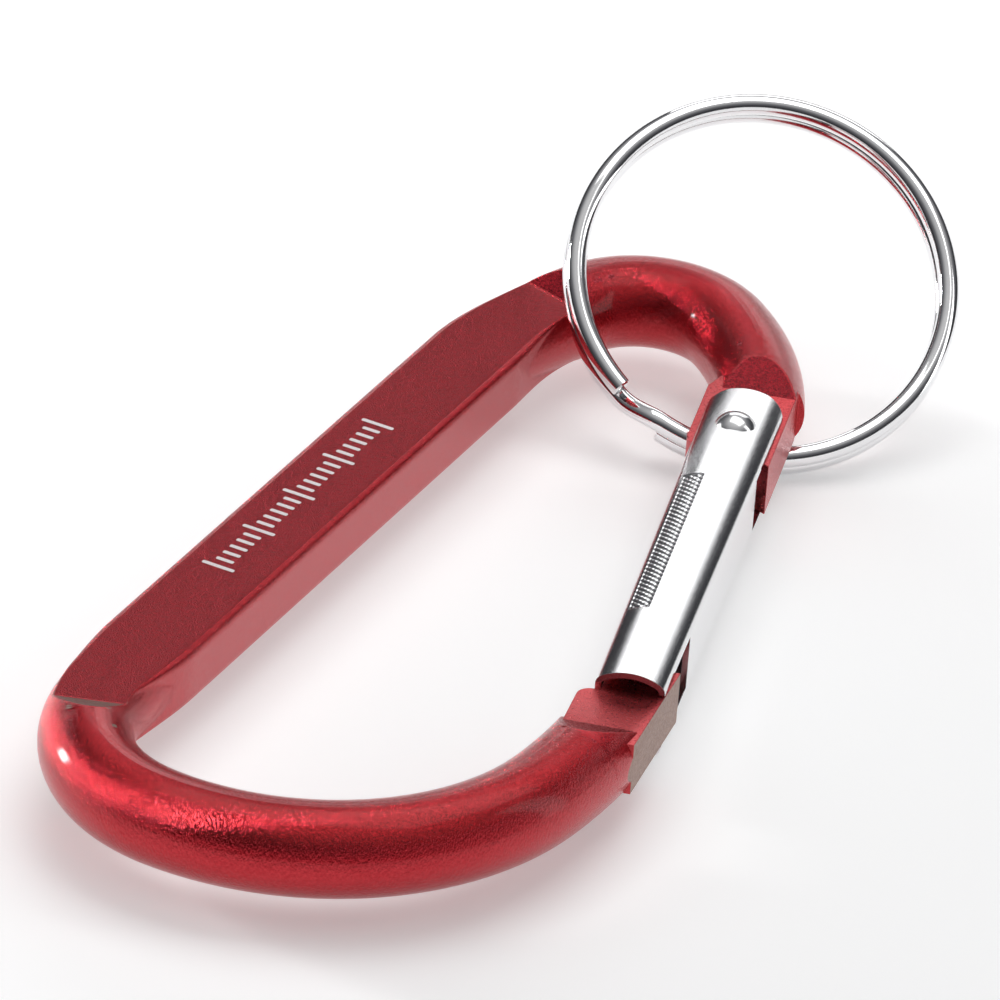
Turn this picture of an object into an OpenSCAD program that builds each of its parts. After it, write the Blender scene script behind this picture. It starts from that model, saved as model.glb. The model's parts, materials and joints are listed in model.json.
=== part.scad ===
// Carabiner keyring: a bent rod frame with a sprung folded gate, and a two-turn split ring.
// The frame lies flat: +X from the spine to the gate, +Y from the heel to the crown bow, +Z up.
// The origin is the middle of the spine's back flat, which is the face the spine rests on.

/* [Rod] */
// Diameter of the round rod
rod_d = 6.1; // [5.6:0.1:6.6]
// Length of the straight spine
spine_len = 49; // [46:0.5:52]

/* [Lower bow] */
// Radius of the heel, where the spine turns into the lower bow
heel_r = 10; // [9:0.5:11]
// Angle of the heel
heel_angle = 86.6; // [84:0.1:88]
// Radius of the middle of the lower bow
bowl_r = 17.6; // [17:0.1:18.4]
// Angle of the middle of the lower bow
bowl_angle = 86.8; // [85:0.1:88]
// Radius of the last stretch before the nose
nose_r = 42.4; // [38:0.1:46]
// Angle of the last stretch before the nose
nose_angle = 13.2; // [12:0.1:14]

/* [Upper bow] */
// Radius of the shoulder, where the spine starts to bend
shoulder_r = 29.3; // [28:0.1:31]
// Angle of the shoulder
shoulder_angle = 22.2; // [21:0.1:23]
// Radius of the tight crown bow
crown_r = 6.2; // [6:0.1:6.6]
// Angle of the crown bow
crown_angle = 104.6; // [103:0.1:106]
// Radius of the last stretch before the hinge
hinge_r = 19.7; // [19:0.1:20.5]
// Angle of the last stretch before the hinge
hinge_angle = 35.6; // [34.5:0.1:36.5]

/* [Flats] */
// Thickness of the pressed spine
spine_t = 3.95; // [3.6:0.05:4.3]
// Width of the pressed spine
spine_w = 6.4; // [6.2:0.1:6.8]
// Thickness of the hinge and nose tongues
tongue_t = 3.6; // [3.3:0.05:3.7]
// Slope of the ramps between flats and round rod
ramp_slope = 24; // [18:1:32]

/* [Gate] */
// Angle between the gate and the spine
gate_angle = 15.3; // [15:0.1:15.6]
// Length of the gate past the rivet
gate_reach = 32.5; // [32.2:0.1:32.6]
// Length of the gate behind the rivet
gate_back = 4.3; // [4:0.1:4.5]
// Width of the gate at the hinge
gate_hinge_w = 5.2; // [5.1:0.05:5.3]
// Width of the gate at the nose
gate_nose_w = 4.5; // [4.4:0.05:4.6]
// Thickness of the gate over the crowned cheeks
gate_t = 6.2; // [6.1:0.05:6.3]
// Thickness of the folded sheet
sheet_t = 0.4; // [0.35:0.05:0.45]
// Diameter of the rivet's shank
rivet_d = 1.8; // [1.6:0.1:2]
// Diameter of the rivet's domed heads
rivet_head_d = 2.8; // [2.6:0.1:3]

/* [Key ring] */
// Outer diameter of the split ring
ring_outer_d = 26.3; // [26.2:0.1:26.5]
// Diameter of the ring's wire
wire_d = 1.4; // [1.3:0.02:1.4]
// Tilt of the ring from the frame's plane
ring_tilt = 39; // [38.8:0.1:39.4]
// Compass direction that the tilted ring leans to
ring_lean = -53.9; // [-54.2:0.1:-53.6]

/* [Hidden] */
$fn = 64;
eps = 0.01;
far = 60;

// Lower and upper bows as [radius, signed angle] runs: left turns are positive.
lower_runs = [[heel_r, heel_angle], [bowl_r, bowl_angle], [nose_r, nose_angle]];
upper_runs = [[shoulder_r, -shoulder_angle], [crown_r, -crown_angle], [hinge_r, -hinge_angle]];
lower_start = [0, 0, -90];
upper_start = [0, spine_len, 90];

// Ramp lines of the pressed spine, as the arc angle past each end of the straight.
heel_flat_end = 20;
shoulder_flat_end = 16.5;
blend_len = 9;

// Every other stretch of rod is this much thinner and runs this far into its neighbours.
lap_step = 0.02;
lap = 0.1;

// Hinge: the rivet stands this far past the end of the rod, and to its inner side.
rivet_past_rod = 4.9;
rivet_inset = -0.5;
hinge_step = -6.1;
tongue_half_w = 3;
tongue_outer = 2.85;
tongue_end = 2.2;
running = 0.05;

// The tongue's outline: its root inside the rod, and its narrowed end beside the rivet.
root_len = 2.2;
root_inner = -2.1;
root_outer = 2.3;
neck_start = 0.9;
neck_half_w = 1.9;
ear_len = 0.6;
hinge_saw_start = -7.3;
hinge_saw_len = 12;

// Nose: stations along the gate's axis from the rivet.
nose_step = 37;
nose_shoulder = 32.9;
nose_tip = 29.4;
nose_inner = -3.3;
nose_face = 2.6;
nose_face_slope = -0.11;
stop_gap = 0.05;
nose_root_len = 1.6;
nose_root_drop = 0.25;
nose_corner_r = 0.9;
nose_corner_drop = 0.15;
nose_bevel = 0.7;
nose_saw_len = 15;

// Stock left on a tongue's outer side, which the saw then faces.
spare = 0.3;

// Gate section: each cheek is an arc of this radius.
cheek_r = 3.8;
outer_web = [5, 25];
inner_web_start = 3.2;
slot_gap = 0.1;
gate_corner_r = 1.5;
rivet_head_h = 0.55;
rivet_head_foot = 0.4;

// Spring and follower in the gate.
plunger_head_d = 3.2;
plunger_head_t = 0.8;
plunger_stem_d = 1;
plunger_stem_l = 4;
spring_d = 2.5;
spring_wire = 0.4;
spring_turns = 9;
spring_len = 9;
spring_stop_t = 0.5;
spring_start = tongue_end + running + plunger_head_t;

// Split ring.
ring_centre = [13.4, 63.4, 4.03];
ring_r = (ring_outer_d - wire_d) / 2;
ring_pitch = wire_d + 0.04;
ring_jog = 8;
ring_jog_at = 315;

// Where a run that starts at s = [x, y, heading] ends.
function side(s, r, a) = [s.x, s.y] + sign(a) * r * [-sin(s[2]), cos(s[2])];
function run_end(s, r, a) =
    let (c = side(s, r, a), h = s[2] + a)
    [c.x + sign(a) * r * sin(h), c.y - sign(a) * r * cos(h), h];
function after(s, runs, n) = n == 0 ? s : run_end(after(s, runs, n - 1), runs[n - 1][0], runs[n - 1][1]);

rod_end = after(upper_start, upper_runs, 3);
along = [sin(gate_angle), -cos(gate_angle)];
across = [cos(gate_angle), sin(gate_angle)];
rivet_at = [rod_end.x, rod_end.y] + rivet_past_rod * along + rivet_inset * across;

// Part frame: the origin moves to the middle of the spine's back flat.
module placed() {
    translate([0, -spine_len / 2, spine_t / 2]) children();
}

// Gate frame: x along the gate from the rivet to the nose, y outwards, z up.
module at_gate() {
    translate([rivet_at.x, rivet_at.y, 0]) rotate([0, 0, gate_angle - 90]) children();
}

// One bent stretch of round rod, a hair thinner than its neighbours when it is lapped into them.
module rod_run(s, r, a, lapped) {
    c = side(s, r, a);
    lap_angle = lapped ? lap / r * 180 / PI : 0;
    translate([c.x, c.y, 0])
        rotate([0, 0, (a > 0 ? s[2] - 90 : s[2] + 90 + a) - lap_angle])
            rotate_extrude(angle = abs(a) + 2 * lap_angle)
                translate([r, 0]) circle(d = lapped ? rod_d - lap_step : rod_d);
}

module round_rod() {
    rotate([-90, 0, 0]) cylinder(d = rod_d, h = spine_len);
    for (i = [0:2]) {
        rod_run(after(lower_start, lower_runs, i), lower_runs[i][0], lower_runs[i][1], i != 1);
        rod_run(after(upper_start, upper_runs, i), upper_runs[i][0], upper_runs[i][1], i != 1);
    }
}

// Everything above a flat at height z0 for y > 0, and above a ramp that rises towards -y.
module above_ramp(z0) {
    rise = far * tan(ramp_slope);
    translate([-far / 2, 0, 0]) rotate([90, 0, 90]) linear_extrude(far)
        polygon([[-far, z0 + rise], [0, z0], [2 * far, z0], [2 * far, z0 + rise]]);
}

// The stock pressed away above the spine, between the heel ramp and the shoulder ramp.
module spine_relief() {
    heel = run_end(lower_start, heel_r, heel_flat_end);
    shoulder = run_end(upper_start, shoulder_r, -shoulder_flat_end);
    intersection() {
        translate([heel.x, heel.y, 0]) rotate([0, 0, heel_flat_end]) above_ramp(spine_t / 2);
        translate([shoulder.x, shoulder.y, 0])
            rotate([0, 0, 180 - shoulder_flat_end]) above_ramp(spine_t / 2);
        translate([-rod_d, -far / 2, 0]) cube([rod_d * 2, far * 2, rod_d]);
    }
}

// Half width of the pressed spine: the chord of the rod at each ramp, and full width between.
chord = sqrt(pow(rod_d / 2, 2) - pow(spine_t / 2, 2));
function swell(d) = let (t = min(1, max(0, d / blend_len))) t * t * (3 - 2 * t);
function half_w(d) = chord - lap_step + (spine_w / 2 - chord + lap_step) * swell(d);

// The pressed spine's outline, from the heel ramp round to the shoulder ramp.
heel_arc = heel_r * heel_flat_end * PI / 180;
shoulder_arc = shoulder_r * shoulder_flat_end * PI / 180;
press_len = heel_arc + spine_len + shoulder_arc;
function press_at(d) =
    d < heel_arc ? run_end(lower_start, heel_r, (heel_arc - d) / heel_r * 180 / PI + eps)
    : d > heel_arc + spine_len
        ? run_end(upper_start, shoulder_r, -(d - heel_arc - spine_len) / shoulder_r * 180 / PI)
    : [0, d - heel_arc, 90];
function press_heading(d) = d < heel_arc ? press_at(d)[2] - 180 : press_at(d)[2];
function press_side(d, sgn) =
    let (p = press_at(d), h = press_heading(d), w = sgn * half_w(min(d, press_len - d)))
    [p.x - w * sin(h), p.y + w * cos(h)];
press_stations = concat([-lap], [for (i = [0:8]) i * 1.25], [for (i = [0:12]) press_len - 15 + i * 1.25],
    [press_len + lap]);

module pressed_spine() {
    translate([0, 0, -spine_t / 2]) linear_extrude(spine_t)
        polygon(concat([for (d = press_stations) press_side(d, 1)],
            [for (i = [len(press_stations) - 1:-1:0]) press_side(press_stations[i], -1)]));
}

// Outer face of the nose, a plane that leans slightly inwards towards the bow.
function face_y(x) = nose_face + nose_face_slope * (x - nose_tip);

module hinge_tongue() {
    translate([0, 0, -tongue_t / 2]) linear_extrude(tongue_t)
        polygon([[hinge_step - root_len, root_inner], [hinge_step, -tongue_half_w],
            [neck_start, -tongue_half_w], [tongue_end, -neck_half_w], [tongue_end, neck_half_w],
            [tongue_end + ear_len, tongue_outer], [tongue_end + ear_len, tongue_outer + spare],
            [hinge_step, tongue_outer + spare], [hinge_step - root_len, root_outer]]);
}

module nose_tongue() {
    inner = -(gate_nose_w / 2 - sheet_t - stop_gap);
    root = nose_step + nose_root_len;
    r = nose_corner_r;
    translate([0, 0, -tongue_t / 2]) linear_extrude(tongue_t)
        polygon(concat([[root, nose_inner - nose_root_drop], [nose_step, nose_inner]],
            [for (a = [0:15:90]) [nose_shoulder + r - r * sin(a),
                nose_inner + nose_corner_drop + r - r * cos(a)]],
            [[nose_shoulder, inner], [nose_tip + nose_bevel, inner], [nose_tip, inner + nose_bevel],
                [nose_tip, face_y(nose_tip) + spare], [root, face_y(root) + spare]]));
}

module frame_body() {
    color("firebrick") placed() difference() {
        union() {
            difference() {
                round_rod();
                for (m = [0, 1]) mirror([0, 0, m]) {
                    spine_relief();
                    at_gate() {
                        translate([hinge_step, 0, 0]) rotate([0, 0, -90]) tongue_relief();
                        translate([nose_step, 0, 0]) rotate([0, 0, 90]) tongue_relief();
                    }
                }
            }
            pressed_spine();
            at_gate() {
                hinge_tongue();
                nose_tongue();
            }
        }
        at_gate() {
            cylinder(d = rivet_d + 2 * running, h = far, center = true);
            translate([hinge_saw_start, tongue_outer, -rod_d])
                cube([hinge_saw_len, rod_d, 2 * rod_d]);
            translate([nose_tip, nose_face, -rod_d])
                rotate([0, 0, atan(nose_face_slope)]) translate([-1, 0, 0])
                    cube([nose_saw_len, rod_d, 2 * rod_d]);
        }
    }
}

// The same ramp for a tongue, kept to its own end of the rod.
module tongue_relief() {
    intersection() {
        above_ramp(tongue_t / 2);
        translate([-rod_d, -2 * rod_d, 0]) cube([2 * rod_d, 3.2 * rod_d, rod_d]);
    }
}

// The lens that both cheeks' arcs bound, at the cheeks' outer radius or inside the sheet.
module cheek_lens(r) {
    rise = gate_t / 2 - cheek_r;
    intersection() {
        translate([-far / 2, 0, rise]) rotate([0, 90, 0]) cylinder(r = r, h = 2 * far);
        translate([-far / 2, 0, -rise]) rotate([0, 90, 0]) cylinder(r = r, h = 2 * far);
    }
}

// Half width of the gate at a station along it.
function gate_half(x) =
    (gate_hinge_w + (gate_nose_w - gate_hinge_w) * (x + gate_back) / (gate_reach + gate_back)) / 2;

module gate_outline() {
    r = gate_corner_r;
    w = gate_half(-gate_back);
    corner = [for (a = [0:15:90]) [-gate_back + r - r * cos(a), w - r + r * sin(a)]];
    nose = [gate_reach, gate_half(gate_reach)];
    polygon(concat(corner, [nose, [nose.x, -nose.y]],
        [for (i = [len(corner) - 1:-1:0]) [corner[i].x, -corner[i].y]]));
}

module gate_bore_outline() {
    x0 = -gate_back - 1;
    x1 = gate_reach + 1;
    w0 = gate_half(x0) - sheet_t;
    w1 = gate_half(x1) - sheet_t;
    polygon([[x0, w0], [x1, w1], [x1, -w1], [x0, -w0]]);
}

module gate_sleeve() {
    slot_h = tongue_t + 2 * slot_gap;
    back = gate_back + 1;
    color("silver") placed() at_gate() {
        difference() {
            intersection() {
                cheek_lens(cheek_r);
                translate([0, 0, -gate_t / 2]) linear_extrude(gate_t) gate_outline();
            }
            intersection() {
                cheek_lens(cheek_r - sheet_t);
                translate([0, 0, -gate_t / 2]) linear_extrude(gate_t) gate_bore_outline();
            }
            translate([-back, 0, -slot_h / 2]) cube([back + outer_web[0], gate_t, slot_h]);
            translate([-back, -gate_t, -slot_h / 2]) cube([back + inner_web_start, gate_t, slot_h]);
            translate([outer_web[1], 0, -slot_h / 2]) cube([gate_reach, gate_t, slot_h]);
            cylinder(d = rivet_d, h = far, center = true);
        }
        // Pinched tab that the spring bears on.
        intersection() {
            cheek_lens(cheek_r - sheet_t + eps);
            translate([spring_start + spring_len, -spring_d / 2, -gate_t / 2])
                cube([spring_stop_t, spring_d, gate_t]);
        }
    }
}

// One domed head on the crown of a cheek.
module rivet_head() {
    crest = gate_t / 2 + rivet_head_h;
    foot = gate_t / 2 - rivet_head_foot;
    cap_h = crest - foot;
    cap_r = (pow(rivet_head_d / 2, 2) + cap_h * cap_h) / (2 * cap_h);
    difference() {
        intersection() {
            translate([0, 0, crest - cap_r]) sphere(r = cap_r);
            translate([0, 0, foot]) cylinder(d = rivet_head_d, h = cap_h);
        }
        cheek_lens(cheek_r);
    }
}

module hinge_rivet() {
    color("gainsboro") placed() at_gate() {
        cylinder(d = rivet_d, h = gate_t + rivet_head_h, center = true);
        for (m = [0, 1]) mirror([0, 0, m]) rivet_head();
    }
}

// A round wire swept through stations [x, y, z], each with its own outward direction.
// The stations run anticlockwise about z.
module wire(stations, outward, d, sides) {
    n = len(stations);
    ring = [for (i = [0:n - 1]) for (j = [0:sides - 1]) let (a = 360 * (j + 0.5) / sides)
        stations[i] + d / 2 * (cos(a) * outward[i] + [0, 0, sin(a)])];
    walls = [for (i = [0:n - 2]) for (j = [0:sides - 1]) let (k = (j + 1) % sides)
        [i * sides + j, i * sides + k, (i + 1) * sides + k, (i + 1) * sides + j]];
    start_cap = [for (j = [sides - 1:-1:0]) j];
    end_cap = [for (j = [0:sides - 1]) (n - 1) * sides + j];
    polyhedron(ring, concat([start_cap], walls, [end_cap]), convexity = 10);
}

function dir(a) = [cos(a), sin(a), 0];

module gate_spring() {
    step = 30;
    r = (spring_d - spring_wire) / 2;
    turns = [for (a = [0:step:360 * spring_turns]) a];
    rise = (spring_len - spring_wire - eps) / (360 * spring_turns);
    color("dimgray") placed() at_gate()
        translate([spring_start + spring_wire / 2 + eps / 2, 0, 0]) rotate([0, 90, 0])
            wire([for (a = turns) r * dir(a) + [0, 0, rise * a]], [for (a = turns) dir(a)],
                spring_wire, 6);
}

module spring_plunger() {
    color("darkgray") placed() at_gate() translate([tongue_end + running, 0, 0]) rotate([0, 90, 0]) {
        cylinder(d = plunger_head_d, h = plunger_head_t);
        cylinder(d = plunger_stem_d, h = plunger_head_t + plunger_stem_l);
    }
}

// The split ring: two turns, with a jog from the lower to the upper layer between its ends.
module key_ring() {
    step = 7.5;
    last = 720 - ring_jog;
    turns = concat([ring_jog], [for (a = [15:step:last - 1]) a], [last]);
    function layer(a) = let (t = min(1, max(0, (a - 360 + ring_jog) / (2 * ring_jog))))
        ring_pitch * (t * t * (3 - 2 * t) - 0.5);
    color("silver") placed() translate(ring_centre) rotate([0, ring_tilt, ring_lean])
        rotate([0, 0, ring_jog_at])
            wire([for (a = turns) ring_r * dir(a) + [0, 0, layer(a)]], [for (a = turns) dir(a)],
                wire_d, 10);
}

frame_body();
gate_sleeve();
hinge_rivet();
gate_spring();
spring_plunger();
key_ring();
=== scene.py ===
import json
import math

import bpy
import numpy as np
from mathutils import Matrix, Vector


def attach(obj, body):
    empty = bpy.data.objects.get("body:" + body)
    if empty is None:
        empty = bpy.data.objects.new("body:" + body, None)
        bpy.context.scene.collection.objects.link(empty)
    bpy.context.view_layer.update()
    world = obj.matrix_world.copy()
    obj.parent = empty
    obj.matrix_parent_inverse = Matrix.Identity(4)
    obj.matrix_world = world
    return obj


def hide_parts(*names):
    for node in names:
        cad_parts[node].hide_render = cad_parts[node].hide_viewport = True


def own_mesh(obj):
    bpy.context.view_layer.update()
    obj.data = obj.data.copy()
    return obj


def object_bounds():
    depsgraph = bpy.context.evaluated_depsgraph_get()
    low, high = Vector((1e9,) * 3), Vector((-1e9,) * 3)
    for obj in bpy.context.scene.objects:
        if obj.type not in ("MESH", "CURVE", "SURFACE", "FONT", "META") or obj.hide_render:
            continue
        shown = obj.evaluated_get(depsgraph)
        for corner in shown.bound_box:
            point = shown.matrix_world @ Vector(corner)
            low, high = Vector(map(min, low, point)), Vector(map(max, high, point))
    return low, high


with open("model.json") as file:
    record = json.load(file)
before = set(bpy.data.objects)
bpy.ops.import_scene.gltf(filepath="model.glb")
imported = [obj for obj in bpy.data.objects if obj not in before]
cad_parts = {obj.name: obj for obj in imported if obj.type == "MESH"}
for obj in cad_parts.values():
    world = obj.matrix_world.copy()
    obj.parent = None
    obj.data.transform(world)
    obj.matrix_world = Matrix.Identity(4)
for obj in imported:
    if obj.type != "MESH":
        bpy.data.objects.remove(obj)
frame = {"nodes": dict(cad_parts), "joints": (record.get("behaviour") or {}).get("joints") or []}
cad_low, cad_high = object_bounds()

MM = 0.001
MID = 1.975          # height of the clip's mid-plane over the spine's back face
ROD = 3.05           # radius of the round rod
SPINE_H, SPINE_W = 1.975, 3.2      # half thickness and half width of the pressed spine
TONGUE_H = 1.8
SPRING_START, SPRING_LEN = 3.05, 9.0    # where the coil starts, along the gate from the rivet
SPRING_GAP = 0.005                      # the coil's clearance at each end
SLOPE = math.tan(math.radians(24))
GATE = math.radians(15.3)
ALONG = np.array([math.sin(GATE), -math.cos(GATE)])
ACROSS = np.array([math.cos(GATE), math.sin(GATE)])
RIVET = np.array(frame["joints"][0]["pos_m"][:2]) / MM if "pos_m" in frame["joints"][0] else None


# ---------------------------------------------------------------- meshes

def mesh_object(name, verts, faces, uvs=None, smooth=True):
    """A mesh in millimetres in the row frame, with one UV per vertex if given."""
    me = bpy.data.meshes.new(name)
    me.from_pydata([tuple(float(c) * MM for c in v) for v in verts], [], faces)
    if uvs is not None:
        layer = me.uv_layers.new(name="run")
        at = np.array(uvs, float)[np.array([lo.vertex_index for lo in me.loops])]
        layer.data.foreach_set("uv", at.ravel())
    for p in me.polygons:
        p.use_smooth = smooth
    me.validate()
    me.update()
    ob = bpy.data.objects.new(name, me)
    bpy.context.collection.objects.link(ob)
    return ob


def loft(name, rings, capped=True, runs=None, rounds=None):
    """Closed rings of equal length joined in order. runs and rounds give the UVs in millimetres."""
    n, k = len(rings), len(rings[0])
    verts = np.concatenate(rings)
    faces = [(i * k + j, i * k + (j + 1) % k, (i + 1) * k + (j + 1) % k, (i + 1) * k + j)
             for i in range(n - 1) for j in range(k)]
    if capped:
        faces += [tuple(range(k))[::-1], tuple((n - 1) * k + j for j in range(k))]
    uvs = None
    if runs is not None:
        uvs = [(runs[i], rounds[i][j]) for i in range(n) for j in range(k)]
    return mesh_object(name, verts, faces, uvs)


def prism(name, plan, low, high):
    """A straight prism on a plan given in the row frame, millimetres."""
    k = len(plan)
    verts = [(x, y, low) for x, y in plan] + [(x, y, high) for x, y in plan]
    faces = [tuple(range(k))[::-1], tuple(range(k, 2 * k))]
    faces += [(i, (i + 1) % k, k + (i + 1) % k, k + i) for i in range(k)]
    ob = mesh_object(name, verts, faces, smooth=False)
    fix_normals(ob)
    return ob


def fix_normals(ob):
    import bmesh
    bm = bmesh.new()
    bm.from_mesh(ob.data)
    bmesh.ops.recalc_face_normals(bm, faces=bm.faces)
    bm.to_mesh(ob.data)
    bm.free()


def combine(ob, other, operation):
    """Applies an exact Boolean and removes the tool."""
    mod = ob.modifiers.new("cut", "BOOLEAN")
    mod.operation, mod.solver, mod.object = operation, "EXACT", other
    bpy.context.view_layer.objects.active = ob
    bpy.ops.object.modifier_apply(modifier=mod.name)
    bpy.data.objects.remove(other, do_unlink=True)


def sharpen(ob, degrees):
    """Smooth shading with edges sharper than the angle kept crisp."""
    ob.data.polygons.foreach_set("use_smooth", [True] * len(ob.data.polygons))
    ob.data.set_sharp_from_angle(angle=math.radians(degrees))


def gate_plan(points):
    """Gate-frame (along, across) pairs in the row frame."""
    return [tuple(RIVET + x * ALONG + y * ACROSS) for x, y in points]


def gate_frame(p):
    d = p - RIVET
    return d @ ALONG, d @ ACROSS


# ---------------------------------------------------------------- the rod's centre line

def arc_run(start, heading, radius, angle, step):
    """Stations (x, y, heading, length) after the start of an arc; a left turn is positive."""
    n = max(2, int(abs(math.radians(angle)) * radius / step))
    s = math.copysign(1, angle)
    c = start + s * radius * np.array([-math.sin(heading), math.cos(heading)])
    out = []
    for i in range(1, n + 1):
        h = heading + math.radians(angle) * i / n
        p = c + s * radius * np.array([math.sin(h), -math.cos(h)])
        out.append((p[0], p[1], h, radius * abs(math.radians(angle)) * i / n))
    return out


def centre_line(step=0.2):
    """Stations from the nose round the lower bow, up the spine and over the crown to the hinge."""
    lower, at, h, far = [], np.array([0.0, -24.5]), math.radians(-90), 0.0
    for r, a in ((10, 86.6), (17.6, 86.8), (42.4, 13.2)):
        part = arc_run(at, h, r, a, step)
        lower += [(x, y, k, far + d) for x, y, k, d in part]
        at, h, far = np.array(part[-1][:2]), part[-1][2], far + part[-1][3]
    upper, at, h, far = [], np.array([0.0, 24.5]), math.radians(90), 0.0
    for r, a in ((29.3, -22.2), (6.2, -104.6), (19.7, -35.6)):
        part = arc_run(at, h, r, a, step)
        upper += [(x, y, k, far + d) for x, y, k, d in part]
        at, h, far = np.array(part[-1][:2]), part[-1][2], far + part[-1][3]
    n = int(49 / 0.5)
    spine = [(0.0, -24.5 + 49 * i / n, math.radians(90), 24.5 + 49 * i / n - 24.5) for i in range(n + 1)]
    line = [(x, y, k + math.pi, -d) for x, y, k, d in reversed(lower)]
    line += spine
    line += [(x, y, k, 49 + d) for x, y, k, d in upper]
    return line


def ramp(p, origin, up):
    """Height of a flat and of the ramp that rises behind it, at p."""
    return max(0.0, -float((p - origin) @ up)) * SLOPE


def path_point(origin, heading, radius, angle):
    return arc_run(np.array(origin, float), math.radians(heading), radius, angle, 1e9)[-1]


HEEL = path_point((0, -24.5), -90, 10, 20)
SHOULDER = path_point((0, 24.5), 90, 29.3, -16.5)
HEEL_AT, HEEL_UP = np.array(HEEL[:2]), np.array([-math.sin(math.radians(20)), math.cos(math.radians(20))])
SHOULDER_AT = np.array(SHOULDER[:2])
SHOULDER_UP = np.array([-math.sin(math.radians(163.5)), math.cos(math.radians(163.5))])


def flat_height(p, s):
    """Half thickness that the press leaves at p, a point at length s along the rod."""
    if -22 < s < 70:
        h = SPINE_H + ramp(p, HEEL_AT, HEEL_UP) + ramp(p, SHOULDER_AT, SHOULDER_UP)
    else:
        x = gate_frame(p)[0]
        h = TONGUE_H + ((-6.1 - x) if s > 0 else (x - 37.0)) * SLOPE
    return max(h, 1.5)


def swell(d):
    t = min(1.0, max(0.0, d / 9.0))
    return t * t * (3 - 2 * t)


def section(x, y, h, s):
    """Ring of (lateral, height) points of the rod's section, and the inward direction it is laid on."""
    p, inner = np.array([x, y]), np.array([math.sin(h), -math.cos(h)])
    a = flat_height(p, s)
    b = flat_height(p + 0.5 * inner, s) - flat_height(p - 0.5 * inner, s)
    t = swell(min(s + 3.49, 49 + 8.44 - s))
    inside = ROD * ROD * (1 + b * b) - a * a
    cut = inside > 0
    if cut:
        root = math.sqrt(inside)
        wide = (SPINE_W - 2.324) * t
        x1, x2 = (-a * b - root) / (1 + b * b) - wide, (-a * b + root) / (1 + b * b) + wide
    else:
        clear = a / math.sqrt(1 + b * b) - ROD
        crest = -b / math.sqrt(1 + b * b) * ROD * max(0.0, 1 - clear)
        x1, x2 = crest - 0.01, crest + 0.01
    f = min(0.10 + 0.55 * t, (x2 - x1) * 0.3)

    def top(u):
        return a + b * u if cut else math.sqrt(max(0.0, ROD * ROD - u * u))

    def half(edge, toward):
        """The eased corner and the side of one edge, from the flat down to the mid-plane."""
        corner = (edge, top(edge))
        start = (edge - toward * f, top(edge - toward * f))
        last = 0.0 if toward > 0 else math.pi
        if t > 0:
            zb = corner[1] - f * 0.9
            turn = math.asin(min(1.0, zb / ROD))
            levels = [zb * math.sin(turn * (1 - i / 14)) / math.sin(turn) for i in range(15)]
            side = [(toward * max(math.sqrt(ROD * ROD - z * z), abs(edge)), z) for z in levels]
        else:
            phi = math.atan2(corner[1], corner[0])
            phi += math.copysign(f * 0.9 / ROD, last - phi)
            turns = [phi + (last - phi) * i / 14 for i in range(15)]
            side = [(ROD * math.cos(q), ROD * math.sin(q)) for q in turns]
        bend = [tuple((1 - q) ** 2 * start[c] + 2 * q * (1 - q) * corner[c] + q * q * side[0][c]
                      for c in (0, 1)) for q in [i / 8 for i in range(8)]]
        return bend + side

    outer, inner_half = half(x1, -1), half(x2, 1)
    u1, u2 = x1 + f, x2 - f
    flat = [(u1 + (u2 - u1) * i / 10, top(u1 + (u2 - u1) * i / 10)) for i in range(1, 10)]
    upper = outer[::-1] + flat + inner_half
    lower = [(u, -z) for u, z in upper[-2:0:-1]]
    middle = len(lower) // 2
    return lower[middle:] + upper + lower[:middle], inner


def build_rod():
    rings, runs, rounds = [], [], []
    for x, y, h, s in centre_line():
        if s > 49 + 8 and gate_frame(np.array([x, y]))[0] > -5.4:
            break
        if s < -22 and gate_frame(np.array([x, y]))[0] < 36.4:
            continue
        pts, inner = section(x, y, h, s)
        ring = [(x + u * inner[0], y + u * inner[1], MID + z) for u, z in pts]
        rings.append(np.array(ring))
        runs.append(s)
        d, q = 0.0, [0.0]
        for i in range(1, len(pts)):
            d += math.dist(pts[i], pts[i - 1])
            q.append(d)
        rounds.append(q)
    ob = loft("clip_body", rings, True, runs, rounds)
    fix_normals(ob)
    return ob


def hinge_plan():
    return [(-8.3, -2.1), (-6.1, -3.0), (0.7, -3.0), (0.95, -2.93), (2.1, -2.0), (2.2, -1.8),
            (2.2, 1.9), (2.8, 2.85), (2.8, 3.3), (-6.1, 3.3), (-8.3, 2.3)]


def nose_plan():
    inner = -(2.25 - 0.4 - 0.05)
    face = lambda x: 2.6 - 0.11 * (x - 29.4) + 0.3
    round_off = [(32.9 + 0.9 - 0.9 * math.sin(math.radians(a)),
                  -3.3 + 0.15 + 0.9 - 0.9 * math.cos(math.radians(a))) for a in range(0, 91, 10)]
    return ([(38.6, -3.55), (37.0, -3.3)] + round_off +
            [(32.9, inner), (30.1, inner), (29.6, inner + 0.2), (29.4, inner + 0.7),
             (29.4, face(29.4)), (38.6, face(38.6))])


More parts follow.
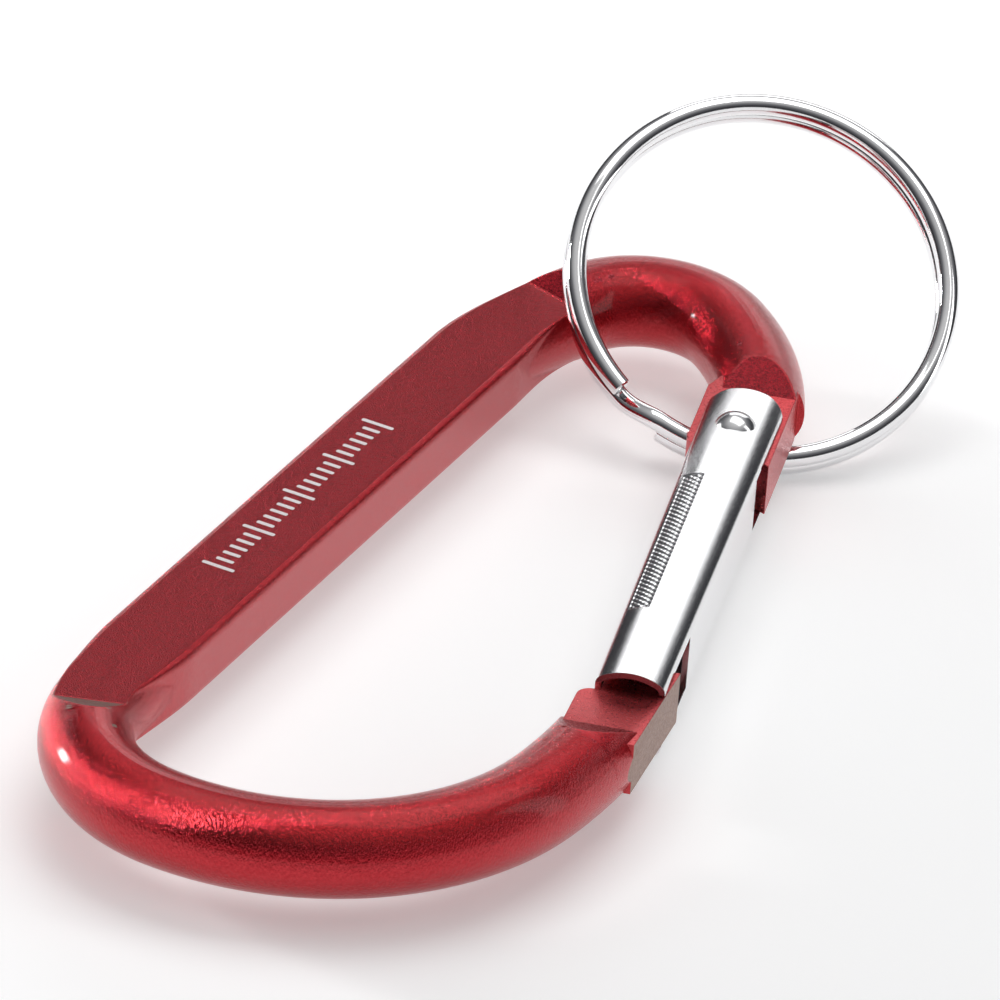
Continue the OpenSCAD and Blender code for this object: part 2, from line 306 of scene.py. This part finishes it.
def build_clip():
    body = build_rod()
    for name, plan in (("t1", hinge_plan()), ("t2", nose_plan())):
        combine(body, prism(name, gate_plan(plan), MID - TONGUE_H, MID + TONGUE_H), "UNION")
    face = [(-7.3, 2.85), (4.7, 2.85), (4.7, 9), (-7.3, 9)]
    combine(body, prism("c1", gate_plan(face), MID - 6, MID + 6), "DIFFERENCE")
    lean = math.atan(-0.11)
    saw = [(29.4 + x * math.cos(lean) - y * math.sin(lean), 2.6 + x * math.sin(lean) + y * math.cos(lean))
           for x, y in ((-1, 0), (14, 0), (14, 6.1), (-1, 6.1))]
    combine(body, prism("c2", gate_plan(saw), MID - 6, MID + 6), "DIFFERENCE")
    hole = [(0.95 * math.cos(math.radians(a)), 0.95 * math.sin(math.radians(a))) for a in range(0, 360, 10)]
    combine(body, prism("c3", gate_plan(hole), MID - 6, MID + 6), "DIFFERENCE")
    sharpen(body, 28)
    return body


# ---------------------------------------------------------------- the gate

CHEEK = 3.8
CHEEK_LOW = CHEEK - 3.1


def gate_half(x):
    return (5.2 + (4.5 - 5.2) * (x + 4.3) / (32.5 + 4.3)) / 2


def grip_depth(x, y):
    """Depth of the strip of fine diamond knurling pressed into the top cheek."""
    edge = min((x - 7.0) / 0.15, (24.3 - x) / 0.15, (y + 1.95) / 0.12, (-0.6 - y) / 0.12, 1.0)
    if edge <= 0:
        return 0.0
    pitch = 0.5
    ridge = abs(math.sin(math.pi * (x + y) / pitch) * math.sin(math.pi * (x - y) / pitch))
    return 0.075 * edge * (1 - 0.8 * ridge)


def sleeve_section(x, inset, marks):
    """Ring of (across, height) round the folded gate, inset from its outside."""
    r = CHEEK - inset
    w = gate_half(x) - inset
    fold = 0.38 - inset * 0.6

    def crown(y):
        return math.sqrt(r * r - y * y) - CHEEK_LOW

    ys = np.linspace(-(w - fold), w - fold, 53)
    top = [(y, crown(y) - (grip_depth(x, y) if marks else 0.0)) for y in ys]
    zt = crown(w)
    bend = []
    for i in range(1, 9):
        q = i / 8
        bend.append(tuple((1 - q) ** 2 * a + 2 * q * (1 - q) * b + q * q * c for a, b, c in
                          zip((w - fold, crown(w - fold)), (w, zt), (w, zt - fold))))
    web = [(w, (zt - fold) * (1 - i / 6)) for i in range(1, 6)]
    right = bend + web
    upper = [(-y, z) for y, z in right[::-1]] + top + right
    under = [(y, -(crown(y) if abs(y) <= w - fold + 1e-9 else z)) for y, z in upper[::-1]]
    return [(-w, 0.0)] + upper + [(w, 0.0)] + under


def build_gate():
    xs = np.concatenate([np.arange(-5.3, 6.8, 0.4), np.arange(6.8, 24.5, 0.1), np.arange(24.6, 33.6, 0.4)])

    def tube(name, inset, marks, stretch):
        rings, runs, rounds = [], [], []
        for x in xs * 1.0:
            xx = x if not stretch else 14.0 + (x - 14.0) * 1.08
            pts = sleeve_section(xx, inset, marks)
            at = [RIVET + xx * ALONG + y * ACROSS for y, z in pts]
            rings.append(np.array([(p[0], p[1], MID + z) for p, (y, z) in zip(at, pts)]))
            runs.append(xx)
            rounds.append([y for y, z in pts])
        ob = loft(name, rings, True, runs, rounds)
        fix_normals(ob)
        return ob

    gate = tube("gate_cover", 0.0, True, False)
    combine(gate, tube("bore", 0.4, False, True), "DIFFERENCE")
    corner = [(-4.3 + 1.5 - 1.5 * math.cos(math.radians(a)), 2.6 - 1.5 + 1.5 * math.sin(math.radians(a)))
              for a in range(0, 91, 6)]
    end = [(32.5, gate_half(32.5) + 0.2)]
    side = corner + [(-2.0, 2.9)] + end
    plan = side + [(x, -y) for x, y in reversed(side)]
    combine(gate, prism("g0", gate_plan(plan), MID - 6, MID + 6), "INTERSECT")
    for name, box in (("g1", (-6.3, 5.0, 0.0, 6)), ("g2", (-6.3, 3.2, -6, 0.0)), ("g3", (25.0, 34.5, 0.0, 6))):
        x0, x1, y0, y1 = box
        combine(gate, prism(name, gate_plan([(x0, y0), (x1, y0), (x1, y1), (x0, y1)]),
                            MID - 1.9, MID + 1.9), "DIFFERENCE")
    sharpen(gate, 32)
    return gate


def lathe(name, profile, steps=72):
    """A closed profile of (radius, height) turned about the rivet's axis."""
    rings = []
    for r, z in profile:
        rings.append(np.array([(RIVET[0] + r * math.cos(2 * math.pi * j / steps),
                                RIVET[1] + r * math.sin(2 * math.pi * j / steps), MID + z)
                               for j in range(steps)]))
    ob = loft(name, rings, True)
    fix_normals(ob)
    return ob


def build_rivet():
    crest, foot, radius = 3.65, 2.7, 1.4
    cap_r = (radius ** 2 + (crest - foot) ** 2) / (2 * (crest - foot))
    dome = [(r, crest - cap_r + math.sqrt(cap_r ** 2 - r * r)) for r in np.linspace(radius, 0.02, 24)]
    head = [(0.9, foot)] + dome
    ob = lathe("rivet", [(r, -z) for r, z in reversed(head)] + head)
    sharpen(ob, 50)
    return ob


# ---------------------------------------------------------------- wires

def wire(name, centres, outward, up, radius, sides, chamfer=0.12):
    """A round wire through the centres; outward and up span each section. Its cut ends are eased."""
    rings, runs, rounds, s = [], [], [], 0.0
    n = len(centres)
    for i in range(n):
        if i:
            s += float(np.linalg.norm(centres[i] - centres[i - 1]))
        r = radius - chamfer if i in (0, n - 1) else radius
        a = np.arange(sides) * 2 * math.pi / sides
        rings.append(centres[i] + r * (np.cos(a)[:, None] * outward[i] + np.sin(a)[:, None] * up[i]))
        runs.append(s)
        rounds.append(list(a * radius))
    ob = loft(name, rings, True, runs, rounds)
    fix_normals(ob)
    return ob


def build_ring():
    tilt, lean = math.radians(39), math.radians(-53.9)
    ry = np.array([[math.cos(tilt), 0, math.sin(tilt)], [0, 1, 0], [-math.sin(tilt), 0, math.cos(tilt)]])
    rz = np.array([[math.cos(lean), -math.sin(lean), 0], [math.sin(lean), math.cos(lean), 0], [0, 0, 1]])
    turn = rz @ ry
    centre = np.array([13.4, 38.9, 6.005])
    jog, at, radius, pitch = 8.0, 315.0, 12.45, 1.44
    angles = [jog, jog + 0.5] + list(np.arange(jog + 2, 720 - jog - 1, 1.5)) + [720 - jog - 0.5, 720 - jog]
    pts, outs, ups = [], [], []
    for a in angles:
        t = min(1.0, max(0.0, (a - 360 + jog) / (2 * jog)))
        z = pitch * (t * t * (3 - 2 * t) - 0.5)
        q = math.radians(a + at)
        outs.append(turn @ np.array([math.cos(q), math.sin(q), 0]))
        ups.append(turn @ np.array([0, 0, 1.0]))
        pts.append(centre + radius * outs[-1] + z * ups[-1])
    ob = wire("split_ring", pts, outs, ups, 0.7, 28)
    sharpen(ob, 40)
    return ob


def build_spring():
    turns, radius, wire_r = 9, 1.05, 0.2
    start = SPRING_START + wire_r + SPRING_GAP
    rise = (SPRING_LEN - 2 * (wire_r + SPRING_GAP)) / (360 * turns)
    axis = np.array([ALONG[0], ALONG[1], 0])
    across = np.array([ACROSS[0], ACROSS[1], 0])
    up = np.array([0, 0, 1.0])
    pts, outs, ups = [], [], []
    for a in range(0, 360 * turns + 1, 12):
        q = math.radians(a)
        o = math.cos(q) * across + math.sin(q) * up
        pts.append(np.array([RIVET[0], RIVET[1], MID]) + (start + rise * a) * axis + radius * o)
        outs.append(o)
        ups.append(axis)
    ob = wire("gate_coil", pts, outs, ups, wire_r, 12, 0.04)
    sharpen(ob, 40)
    return ob


def build_ticks():
    """A plain row of printed tick marks on the spine's front flat, with no lettering."""
    verts, faces = [], []
    z0, z1 = MID + SPINE_H - 0.01, MID + SPINE_H + 0.015
    count = 25
    for i in range(count):
        y = -9.6 + 21.2 * i / (count - 1)
        long_tick = 1.15 if i % 6 == 0 else 0.62
        hw, hl, r = 0.16, long_tick, 0.1
        plan = []
        for cx, cy, a0 in ((hl - r, hw - r, 0), (-(hl - r), hw - r, 90), (-(hl - r), -(hw - r), 180),
                           (hl - r, -(hw - r), 270)):
            plan += [(-0.5 + cx + r * math.cos(math.radians(a0 + a)), y + cy + r * math.sin(math.radians(a0 + a)))
                     for a in (0, 30, 60, 90)]
        b, k = len(verts), len(plan)
        verts += [(x, v, z0) for x, v in plan] + [(x, v, z1) for x, v in plan]
        faces += [tuple(b + k + j for j in range(k))]
        faces += [(b + j, b + (j + 1) % k, b + k + (j + 1) % k, b + k + j) for j in range(k)]
    return mesh_object("print_ticks", verts, faces, smooth=False)


# ---------------------------------------------------------------- materials

def new_material(name):
    mat = bpy.data.materials.new(name)
    mat.use_nodes = True
    nodes, links = mat.node_tree.nodes, mat.node_tree.links
    return mat, nodes, links, nodes["Principled BSDF"]


def textured(nodes, links, source, scale, kind="ShaderNodeTexNoise", **settings):
    """A texture of the object's own or the run's coordinates, stretched by scale."""
    coord = nodes.new("ShaderNodeTexCoord")
    mapping = nodes.new("ShaderNodeMapping")
    mapping.inputs["Scale"].default_value = scale
    links.new(coord.outputs[source], mapping.inputs["Vector"])
    tex = nodes.new(kind)
    links.new(mapping.outputs["Vector"], tex.inputs["Vector"])
    for k, v in settings.items():
        tex.inputs[k].default_value = v
    return tex


def ramp_node(nodes, links, source, stops):
    node = nodes.new("ShaderNodeValToRGB")
    node.color_ramp.elements[0].position, node.color_ramp.elements[0].color = stops[0]
    node.color_ramp.elements[1].position, node.color_ramp.elements[1].color = stops[-1]
    for pos, col in stops[1:-1]:
        e = node.color_ramp.elements.new(pos)
        e.color = col
    links.new(source, node.inputs["Fac"])
    return node


def bump(nodes, links, height, strength, distance, normal=None):
    node = nodes.new("ShaderNodeBump")
    node.inputs["Strength"].default_value = strength
    node.inputs["Distance"].default_value = distance
    links.new(height, node.inputs["Height"])
    if normal is not None:
        links.new(normal, node.inputs["Normal"])
    return node


def eased(nodes, radius):
    """Softens the shading at crisp edges by this radius in millimetres."""
    node = nodes.new("ShaderNodeBevel")
    node.samples = 4
    node.inputs["Radius"].default_value = radius * MM
    return node


def finish_with(links, bsdf, rough, normal):
    links.new(rough, bsdf.inputs["Roughness"])
    links.new(normal, bsdf.inputs["Normal"])


def anodised(name, dark, light, rough, coat, streak=0.0, pebble=0.0, along=("UV", (2.4, 0.7, 1.0)), edge=0.1):
    """Anodised or bare worked metal: directional marks or a pressed grain, and a thin clear oxide."""
    mat, nodes, links, bsdf = new_material(name)
    bsdf.inputs["Metallic"].default_value = 1.0
    bsdf.inputs["Coat Weight"].default_value = coat
    bsdf.inputs["Coat Roughness"].default_value = 0.12
    mottle = textured(nodes, links, "Object", (900, 900, 900), Detail=4.0, Roughness=0.6)
    colour = ramp_node(nodes, links, mottle.outputs["Fac"], [(0.3, (*dark, 1)), (0.7, (*light, 1))])
    links.new(colour.outputs["Color"], bsdf.inputs["Base Color"])
    low, high = rough
    r = ramp_node(nodes, links, mottle.outputs["Fac"], [(0.3, (low,) * 3 + (1,)), (0.75, (high,) * 3 + (1,))])
    normal = eased(nodes, edge).outputs["Normal"]
    if streak:
        marks = textured(nodes, links, *along, Detail=3.0, Roughness=0.65)
        normal = bump(nodes, links, marks.outputs["Fac"], streak, 0.10 * MM, normal).outputs["Normal"]
    if pebble:
        grain = textured(nodes, links, "Object", (2300, 2300, 2300), Detail=2.0, Roughness=0.6)
        normal = bump(nodes, links, grain.outputs["Fac"], pebble, 0.22 * MM, normal).outputs["Normal"]
    finish_with(links, bsdf, r.outputs["Color"], normal)
    return mat


def bright_metal(name, tint, rough, scratch, edge=0.05, source="UV", scale=(0.35, 9.0, 1.0)):
    """Polished or plated metal with fine directional marks."""
    mat, nodes, links, bsdf = new_material(name)
    bsdf.inputs["Metallic"].default_value = 1.0
    lines = textured(nodes, links, source, scale, Detail=5.0, Roughness=0.7)
    colour = ramp_node(nodes, links, lines.outputs["Fac"],
                       [(0.3, tuple(c * 0.93 for c in tint) + (1,)), (0.7, (*tint, 1))])
    links.new(colour.outputs["Color"], bsdf.inputs["Base Color"])
    low, high = rough
    r = ramp_node(nodes, links, lines.outputs["Fac"], [(0.25, (low,) * 3 + (1,)), (0.8, (high,) * 3 + (1,))])
    normal = eased(nodes, edge).outputs["Normal"]
    normal = bump(nodes, links, lines.outputs["Fac"], scratch, 0.01 * MM, normal).outputs["Normal"]
    finish_with(links, bsdf, r.outputs["Color"], normal)
    return mat


def ink():
    mat, nodes, links, bsdf = new_material("white_ink")
    grain = textured(nodes, links, "Object", (2600, 2600, 2600), Detail=3.0)
    colour = ramp_node(nodes, links, grain.outputs["Fac"],
                       [(0.3, (0.72, 0.64, 0.64, 1)), (0.65, (0.86, 0.82, 0.82, 1))])
    links.new(colour.outputs["Color"], bsdf.inputs["Base Color"])
    bsdf.inputs["Roughness"].default_value = 0.45
    return mat


def assign_clip(ob):
    """Gloss rod, pebbled flats, scraped ramps and sawn faces; the tongues' flats and sides are painted a lighter,
    pinker red as a painted reflection of the softbox.
    """
    down = (2600, 2600, 160)
    mats = [anodised("anodised_gloss", (0.40, 0.014, 0.022), (0.54, 0.034, 0.044), (0.05, 0.13), 0.25, 1.0),
            anodised("anodised_satin", (0.24, 0.010, 0.017), (0.46, 0.034, 0.044), (0.30, 0.44), 0.05, 0.0, 1.0),
            anodised("anodised_ramp", (0.24, 0.008, 0.016), (0.44, 0.022, 0.034), (0.20, 0.36), 0.1, 0.9, 0.0,
                     ("UV", (0.35, 5.0, 1.0))),
            # the tongues' red is painted lighter and pinker than the rod's: a painted reflection of the softbox,
            # not a colour of their own
            anodised("anodised_tongue_painted_reflection", (0.48, 0.050, 0.058), (0.62, 0.078, 0.085), (0.24, 0.36), 0.1, 0.0, 0.25),
            anodised("sawn_bare", (0.20, 0.105, 0.085), (0.42, 0.30, 0.25), (0.30, 0.46), 0.0, 0.9, 0.0,
                     ("Object", down)),
            anodised("scraped_bare", (0.17, 0.115, 0.095), (0.30, 0.235, 0.20), (0.26, 0.40), 0.0, 0.6, 0.0,
                     ("UV", (0.35, 5.0, 1.0)))]
    for m in mats:
        ob.data.materials.append(m)
    ramp_z = math.cos(math.atan(SLOPE))
    for p in ob.data.polygons:
        n, c = p.normal, p.center / MM
        up = abs(n.z)
        dz = abs(c.z - MID)
        x, y = gate_frame(np.array([c.x, c.y]))
        on_tongue = -8.4 < x < 38.7 and (x < 3 or x > 29) and y > -3.7 and dz < 1.82
        if up > 0.995 and abs(dz - SPINE_H) < 0.02 and c.x < 6:
            p.material_index = 1
        # tongue flats here, and tongue sides below, take the lighter red with the painted reflection
        elif up > 0.995 and abs(dz - TONGUE_H) < 0.03:
            p.material_index = 3
        elif abs(up - ramp_z) < 0.004 and dz < 3.03 and dz > 1.5:
            p.material_index = 5 if c.y < -20 and c.x < 6 else 2
        elif on_tongue and up < 0.02:
            p.material_index = 4 if x > 29 and n.x * ACROSS[0] + n.y * ACROSS[1] > 0.95 else 3


# ---------------------------------------------------------------- the object

clip = build_clip()
assign_clip(clip)
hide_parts("frame_body")
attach(clip, "frame")

ticks = build_ticks()
ticks.data.materials.append(ink())
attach(ticks, "frame")

gate = build_gate()
gate.data.materials.append(bright_metal("gate_polish", (0.80, 0.80, 0.81), (0.10, 0.22), 0.35))
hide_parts("gate_sleeve")
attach(gate, "gate")

rivet = build_rivet()
rivet.data.materials.append(bright_metal("rivet_polish", (0.84, 0.84, 0.85), (0.12, 0.26), 0.25,
                                         source="Object", scale=(2500, 2500, 2500)))
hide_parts("hinge_rivet")
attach(rivet, "gate")

coil = build_spring()
coil.data.materials.append(bright_metal("spring_steel", (0.46, 0.46, 0.48), (0.22, 0.36), 0.2))
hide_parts("gate_spring")
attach(coil, "gate")
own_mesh(coil)

plunger = frame["nodes"]["spring_plunger"]
plunger.data.materials.clear()
plunger.data.materials.append(bright_metal("plunger_turned", (0.58, 0.58, 0.60), (0.25, 0.4), 0.3,
                                           source="Object", scale=(2500, 2500, 9000)))

ring = build_ring()
ring.data.materials.append(bright_metal("ring_plate", (0.86, 0.86, 0.87), (0.035, 0.10), 0.12,
                                        scale=(0.25, 3.0, 1.0)))
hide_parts("key_ring")
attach(ring, "ring")

# ---------------------------------------------------------------- stage, light and camera

floor_z = cad_low.z / MM - 0.02
floor = mesh_object("floor", [(-3000, -3000, floor_z), (3000, -3000, floor_z), (3000, 3000, floor_z),
                              (-3000, 3000, floor_z)], [(0, 1, 2, 3)], smooth=False)
floor_mat, fn, fl, fb = new_material("pale_floor")
fb.inputs["Base Color"].default_value = (0.93, 0.93, 0.93, 1)
fb.inputs["Roughness"].default_value = 0.9
fb.inputs["Emission Color"].default_value = (1, 1, 1, 1)
fb.inputs["Emission Strength"].default_value = 0.26
fb.inputs["Specular IOR Level"].default_value = 0.0
floor.data.materials.append(floor_mat)


def softbox(name, at, target, size, power):
    light = bpy.data.lights.new(name, "AREA")
    light.shape, light.size, light.size_y = "RECTANGLE", size[0] * MM, size[1] * MM
    light.energy = power
    ob = bpy.data.objects.new(name, light)
    ob.location = [c * MM for c in at]
    aim = (np.array(target, float) - np.array(at, float))
    from mathutils import Vector
    ob.rotation_mode = "QUATERNION"
    ob.rotation_quaternion = Vector(aim).to_track_quat("-Z", "Y")
    bpy.context.collection.objects.link(ob)
    return ob


MIDDLE = (14, 10, 0)
softbox("top_box", (20, 120, 420), MIDDLE, (420, 300), 0.66)
softbox("back_box", (-119, 420, 210), MIDDLE, (360, 210), 0.42)
softbox("left_lamp", (-425, -35, 85), MIDDLE, (60, 90), 1.3)
softbox("right_strip", (360, 150, 160), MIDDLE, (80, 360), 0.22)

world = bpy.data.worlds.new("studio")
bpy.context.scene.world = world
world.use_nodes = True
wn, wl = world.node_tree.nodes, world.node_tree.links
back = wn["Background"]
wc = wn.new("ShaderNodeTexCoord")
wsep = wn.new("ShaderNodeSeparateXYZ")
wl.new(wc.outputs["Generated"], wsep.inputs["Vector"])
wramp = ramp_node(wn, wl, wsep.outputs["Z"], [(0.0, (0.035, 0.035, 0.038, 1)), (0.3, (0.05, 0.05, 0.055, 1)),
                                              (0.6, (0.16, 0.16, 0.17, 1)), (0.95, (0.6, 0.6, 0.6, 1))])
wl.new(wramp.outputs["Color"], back.inputs["Color"])
back.inputs["Strength"].default_value = 1.0

camera = bpy.data.cameras.new("camera")
camera.lens, camera.sensor_width = 408.7, 36.0
camera.clip_start, camera.clip_end = 0.05, 20.0
cam = bpy.data.objects.new("camera", camera)
cam.location = (0.27949, -0.55476, 0.37872)
cam.rotation_euler = tuple(math.radians(a) for a in (58.909, -3.940, 27.928))
bpy.context.collection.objects.link(cam)
bpy.context.scene.camera = cam
bpy.context.scene.view_settings.view_transform = "Standard"
